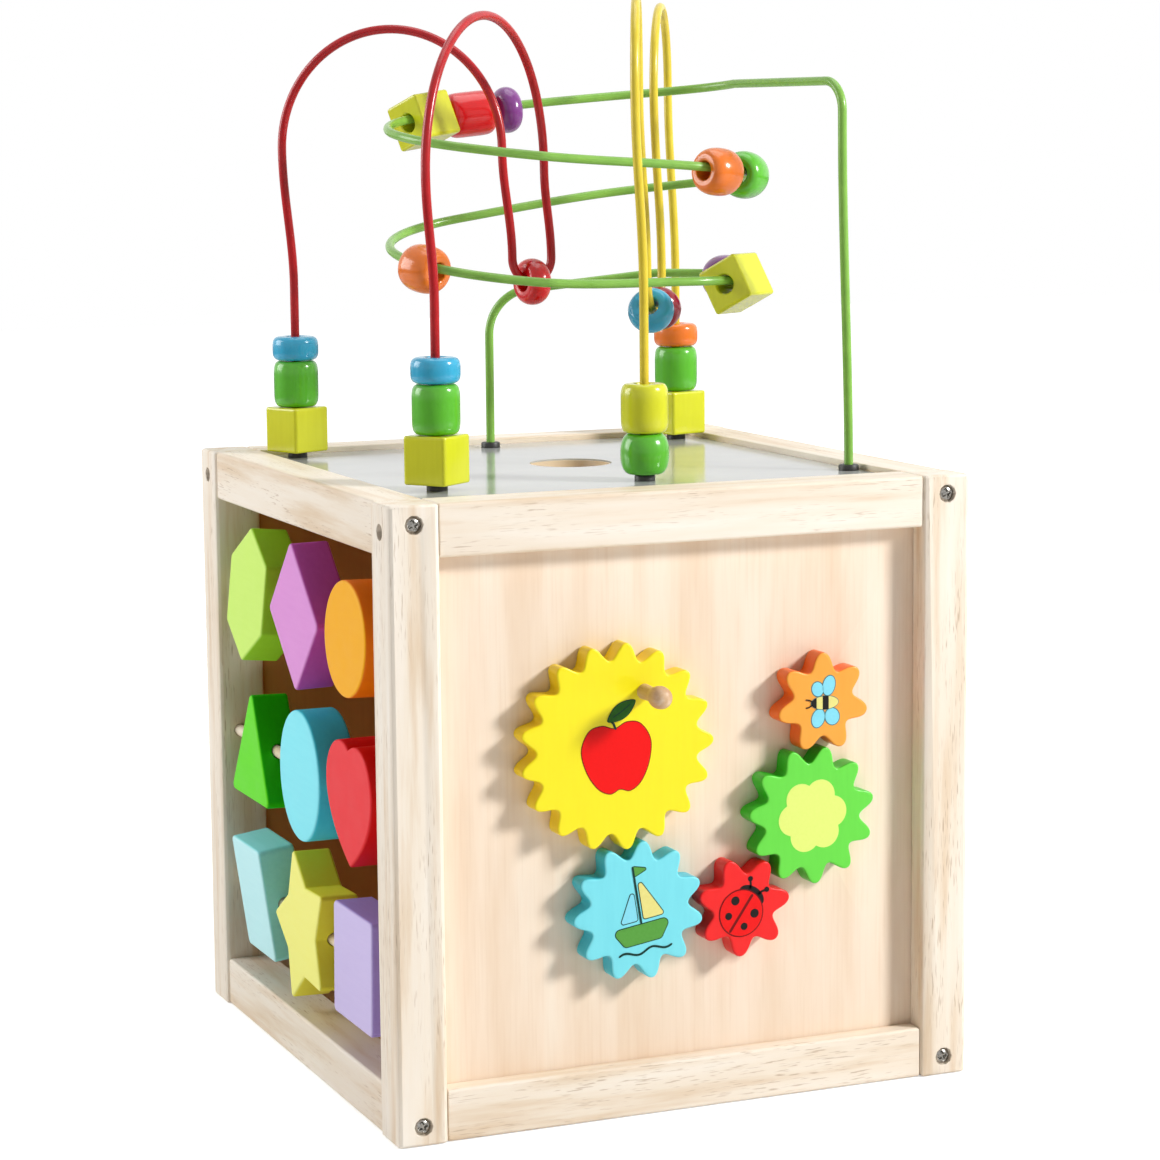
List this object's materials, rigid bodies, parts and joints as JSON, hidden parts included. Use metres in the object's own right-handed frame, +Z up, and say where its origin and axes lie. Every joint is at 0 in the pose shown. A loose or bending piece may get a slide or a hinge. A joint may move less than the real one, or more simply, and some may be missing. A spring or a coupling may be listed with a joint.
{
  "type": "activity cube",
  "caption": "Wooden toddler activity cube with a meshing gear train, spinning shape blocks on rods and a lift-off bead maze of bent wires.",
  "frame": {"origin": "centre of the base panel's underside, on the floor", "axes": "+Z up; the gear face looks towards -Y and the open shape face towards -X"},
  "size_m": [0.3029, 0.324, 0.5332],
  "materials": {
    "bead_blue": "satin paint on wood",
    "bead_crimson": "satin paint on wood",
    "bead_green": "satin paint on wood",
    "bead_orange": "satin paint on wood",
    "bead_purple": "satin paint on wood",
    "bead_red": "satin paint on wood",
    "bead_yellow": "satin paint on wood",
    "beech": "clear satin lacquer",
    "beech_dowel": "clear satin lacquer",
    "beech_knob": "clear satin lacquer",
    "board": "high-gloss grey lacquer on board",
    "paint_amber": "satin paint on wood",
    "paint_aqua": "satin paint on wood",
    "paint_blue": "satin paint on wood",
    "paint_cherry": "satin paint on wood",
    "paint_green": "satin paint on wood",
    "paint_leaf": "satin paint on wood",
    "paint_lemon": "satin paint on wood",
    "paint_lilac": "satin paint on wood",
    "paint_lime": "satin paint on wood",
    "paint_orange": "satin paint on wood",
    "paint_red": "satin paint on wood",
    "paint_sky": "satin paint on wood",
    "paint_violet": "satin paint on wood",
    "paint_yellow": "satin paint on wood",
    "plywood": "clear satin lacquer",
    "wire_green": "smooth gloss coating",
    "wire_red": "smooth gloss coating",
    "wire_yellow": "smooth gloss coating"
  },
  "bodies": {
    "frame": {"base_panel": "plywood", "bottom_rail_front": "beech", "bottom_rail_left": "beech", "bottom_rail_rear": "beech", "bottom_rail_right": "beech", "front_panel": "plywood", "post_front_left": "beech", "post_front_right": "beech", "post_rear_left": "beech", "post_rear_right": "beech", "rear_panel": "plywood", "right_panel": "plywood", "shape_rod_bottom": "beech_dowel", "shape_rod_middle": "beech_dowel", "shape_rod_top": "beech_dowel", "top_rail_front": "beech", "top_rail_left": "beech", "top_rail_rear": "beech", "top_rail_right": "beech"},
    "maze": {"top_board": "board", "wire_red": "wire_red", "wire_yellow": "wire_yellow", "wire_green": "wire_green"},
    "gear_yellow": {"gear_yellow": "paint_yellow", "crank_knob": "beech_knob"},
    "gear_blue": {"gear_blue": "paint_blue"},
    "gear_red": {"gear_red": "paint_red"},
    "gear_green": {"gear_green": "paint_green"},
    "gear_orange": {"gear_orange": "paint_orange"},
    "block_hexagon": {"block_hexagon": "paint_lime"},
    "block_diamond": {"block_diamond": "paint_violet"},
    "block_circle": {"block_circle": "paint_amber"},
    "block_triangle": {"block_triangle": "paint_leaf"},
    "block_oval": {"block_oval": "paint_sky"},
    "block_heart": {"block_heart": "paint_cherry"},
    "block_oblong": {"block_oblong": "paint_aqua"},
    "block_star": {"block_star": "paint_lemon"},
    "block_square": {"block_square": "paint_lilac"},
    "bead_rear_left_cube": {"bead_rear_left_cube": "bead_yellow"},
    "bead_rear_left_barrel": {"bead_rear_left_barrel": "bead_green"},
    "bead_rear_left_disc": {"bead_rear_left_disc": "bead_blue"},
    "bead_front_left_cube": {"bead_front_left_cube": "bead_yellow"},
    "bead_front_left_barrel": {"bead_front_left_barrel": "bead_green"},
    "bead_front_left_disc": {"bead_front_left_disc": "bead_blue"},
    "bead_front_right_round": {"bead_front_right_round": "bead_green"},
    "bead_front_right_barrel": {"bead_front_right_barrel": "bead_yellow"},
    "bead_rear_right_cube": {"bead_rear_right_cube": "bead_yellow"},
    "bead_rear_right_barrel": {"bead_rear_right_barrel": "bead_green"},
    "bead_rear_right_disc": {"bead_rear_right_disc": "bead_orange"},
    "bead_low_red": {"bead_low_red": "bead_red"},
    "bead_low_blue": {"bead_low_blue": "bead_blue"},
    "bead_low_crimson": {"bead_low_crimson": "bead_crimson"},
    "bead_coil_cube_left": {"bead_coil_cube_left": "bead_yellow"},
    "bead_coil_barrel": {"bead_coil_barrel": "bead_red"},
    "bead_coil_disc": {"bead_coil_disc": "bead_purple"},
    "bead_coil_orange_right": {"bead_coil_orange_right": "bead_orange"},
    "bead_coil_green": {"bead_coil_green": "bead_green"},
    "bead_coil_orange_left": {"bead_coil_orange_left": "bead_orange"},
    "bead_coil_cube_right": {"bead_coil_cube_right": "bead_yellow"},
    "bead_coil_purple": {"bead_coil_purple": "bead_purple"}
  },
  "joints": [
    {"name": "maze_lift", "type": "slide", "parent": "frame", "child": "maze", "axis": [0, 0, 1], "range_m": [0, 0.06]},
    {"name": "gear_yellow_spin", "type": "hinge", "parent": "frame", "child": "gear_yellow", "pos_m": [-0.0375, -0.15, 0.1803], "axis": [0, -1, 0], "continuous": true},
    {"name": "gear_blue_spin", "type": "hinge", "parent": "frame", "child": "gear_blue", "pos_m": [-0.02742, -0.15, 0.10053], "axis": [0, -1, 0], "continuous": true},
    {"name": "gear_red_spin", "type": "hinge", "parent": "frame", "child": "gear_red", "pos_m": [0.02775, -0.15, 0.09677], "axis": [0, -1, 0], "continuous": true},
    {"name": "gear_green_spin", "type": "hinge", "parent": "frame", "child": "gear_green", "pos_m": [0.06439, -0.15, 0.13819], "axis": [0, -1, 0], "continuous": true},
    {"name": "gear_orange_spin", "type": "hinge", "parent": "frame", "child": "gear_orange", "pos_m": [0.07017, -0.15, 0.19319], "axis": [0, -1, 0], "continuous": true},
    {"name": "block_hexagon_spin", "type": "hinge", "parent": "frame", "child": "block_hexagon", "pos_m": [-0.139, 0.0766, 0.2295], "axis": [0, 1, 0], "continuous": true},
    {"name": "block_diamond_spin", "type": "hinge", "parent": "frame", "child": "block_diamond", "pos_m": [-0.139, -0.0022, 0.2295], "axis": [0, 1, 0], "continuous": true},
    {"name": "block_circle_spin", "type": "hinge", "parent": "frame", "child": "block_circle", "pos_m": [-0.139, -0.0818, 0.2295], "axis": [0, 1, 0], "continuous": true},
    {"name": "block_triangle_spin", "type": "hinge", "parent": "frame", "child": "block_triangle", "pos_m": [-0.139, 0.075, 0.15], "axis": [0, 1, 0], "continuous": true},
    {"name": "block_oval_spin", "type": "hinge", "parent": "frame", "child": "block_oval", "pos_m": [-0.139, -0.007, 0.15], "axis": [0, 1, 0], "continuous": true},
    {"name": "block_heart_spin", "type": "hinge", "parent": "frame", "child": "block_heart", "pos_m": [-0.139, -0.0831, 0.15], "axis": [0, 1, 0], "continuous": true},
    {"name": "block_oblong_spin", "type": "hinge", "parent": "frame", "child": "block_oblong", "pos_m": [-0.139, 0.076, 0.0705], "axis": [0, 1, 0], "continuous": true},
    {"name": "block_star_spin", "type": "hinge", "parent": "frame", "child": "block_star", "pos_m": [-0.139, -0.003, 0.0705], "axis": [0, 1, 0], "continuous": true},
    {"name": "block_square_spin", "type": "hinge", "parent": "frame", "child": "block_square", "pos_m": [-0.139, -0.0844, 0.0705], "axis": [0, 1, 0], "continuous": true},
    {"name": "bead_rear_left_cube_slide", "type": "slide", "parent": "maze", "child": "bead_rear_left_cube", "axis": [0, 0, 1], "range_m": [0, 0.018]},
    {"name": "bead_rear_left_barrel_slide", "type": "slide", "parent": "bead_rear_left_cube", "child": "bead_rear_left_barrel", "axis": [0, 0, 1], "range_m": [0, 0.018]},
    {"name": "bead_rear_left_disc_slide", "type": "slide", "parent": "bead_rear_left_barrel", "child": "bead_rear_left_disc", "axis": [0, 0, 1], "range_m": [0, 0.018]},
    {"name": "bead_front_left_cube_slide", "type": "slide", "parent": "maze", "child": "bead_front_left_cube", "axis": [0, 0, 1], "range_m": [0, 0.02]},
    {"name": "bead_front_left_barrel_slide", "type": "slide", "parent": "bead_front_left_cube", "child": "bead_front_left_barrel", "axis": [0, 0, 1], "range_m": [0, 0.02]},
    {"name": "bead_front_left_disc_slide", "type": "slide", "parent": "bead_front_left_barrel", "child": "bead_front_left_disc", "axis": [0, 0, 1], "range_m": [0, 0.02]},
    {"name": "bead_front_right_round_slide", "type": "slide", "parent": "maze", "child": "bead_front_right_round", "axis": [0, 0, 1], "range_m": [0, 0.045]},
    {"name": "bead_front_right_barrel_slide", "type": "slide", "parent": "bead_front_right_round", "child": "bead_front_right_barrel", "axis": [0, 0, 1], "range_m": [0, 0.045]},
    {"name": "bead_rear_right_cube_slide", "type": "slide", "parent": "maze", "child": "bead_rear_right_cube", "axis": [0, 0, 1], "range_m": [0, 0.024]},
    {"name": "bead_rear_right_barrel_slide", "type": "slide", "parent": "bead_rear_right_cube", "child": "bead_rear_right_barrel", "axis": [0, 0, 1], "range_m": [0, 0.024]},
    {"name": "bead_rear_right_disc_slide", "type": "slide", "parent": "bead_rear_right_barrel", "child": "bead_rear_right_disc", "axis": [0, 0, 1], "range_m": [0, 0.024]},
    {"name": "bead_low_red_travel", "type": "hinge", "parent": "maze", "child": "bead_low_red", "pos_m": [-0.005, 0.032, 0.402], "axis": [0.1994, -0.9799, 0], "range_deg": [-45, 45]},
    {"name": "bead_low_blue_travel", "type": "hinge", "parent": "maze", "child": "bead_low_blue", "pos_m": [0.0565, 0.015, 0.393], "axis": [0.8192, -0.5736, 0], "range_deg": [-40, 0]},
    {"name": "bead_low_crimson_travel", "type": "hinge", "parent": "maze", "child": "bead_low_crimson", "pos_m": [0.0565, 0.015, 0.393], "axis": [0.8192, -0.5736, 0], "range_deg": [0, 40]},
    {"name": "bead_coil_cube_left_travel", "type": "hinge", "parent": "maze", "child": "bead_coil_cube_left", "pos_m": [-0.02867, 0.01125, 0.47438], "axis": [-0.109, -0.0474, 0.9929], "range_deg": [0, 35]},
    {"name": "bead_coil_barrel_slide", "type": "slide", "parent": "maze", "child": "bead_coil_barrel", "axis": [0.9949, 0, 0.1007], "range_m": [0, 0.018]},
    {"name": "bead_coil_disc_slide", "type": "slide", "parent": "bead_coil_barrel", "child": "bead_coil_disc", "axis": [0.9959, 0, 0.0909], "range_m": [0, 0.012]},
    {"name": "bead_coil_orange_right_travel", "type": "hinge", "parent": "maze", "child": "bead_coil_orange_right", "pos_m": [0.04788, 0.01234, 0.44749], "axis": [0.0746, 0.0257, 0.9969], "range_deg": [-18, 0]},
    {"name": "bead_coil_green_travel", "type": "hinge", "parent": "maze", "child": "bead_coil_green", "pos_m": [0.04775, 0.01226, 0.44553], "axis": [0.0568, 0.0549, 0.9969], "range_deg": [0, 38]},
    {"name": "bead_coil_orange_left_travel", "type": "hinge", "parent": "maze", "child": "bead_coil_orange_left", "pos_m": [-0.02754, 0.0127, 0.40165], "axis": [0.0715, -0.15, 0.9861], "range_deg": [-20, 25]},
    {"name": "bead_coil_cube_right_travel", "type": "hinge", "parent": "maze", "child": "bead_coil_cube_right", "pos_m": [0.048, 0.012, 0.39122], "axis": [0.0044, 0.003, 1], "range_deg": [-30, 0]},
    {"name": "bead_coil_purple_travel", "type": "hinge", "parent": "maze", "child": "bead_coil_purple", "pos_m": [0.048, 0.012, 0.39108], "axis": [-0.0002, 0.0007, 1], "range_deg": [-32, 28]}
  ],
  "couplings": [
    {"joint": "gear_blue_spin", "follows": "gear_yellow_spin", "ratio": -1.5455},
    {"joint": "gear_red_spin", "follows": "gear_yellow_spin", "ratio": 2.4286},
    {"joint": "gear_green_spin", "follows": "gear_yellow_spin", "ratio": -1.5455},
    {"joint": "gear_orange_spin", "follows": "gear_yellow_spin", "ratio": 2.4286}
  ]
}
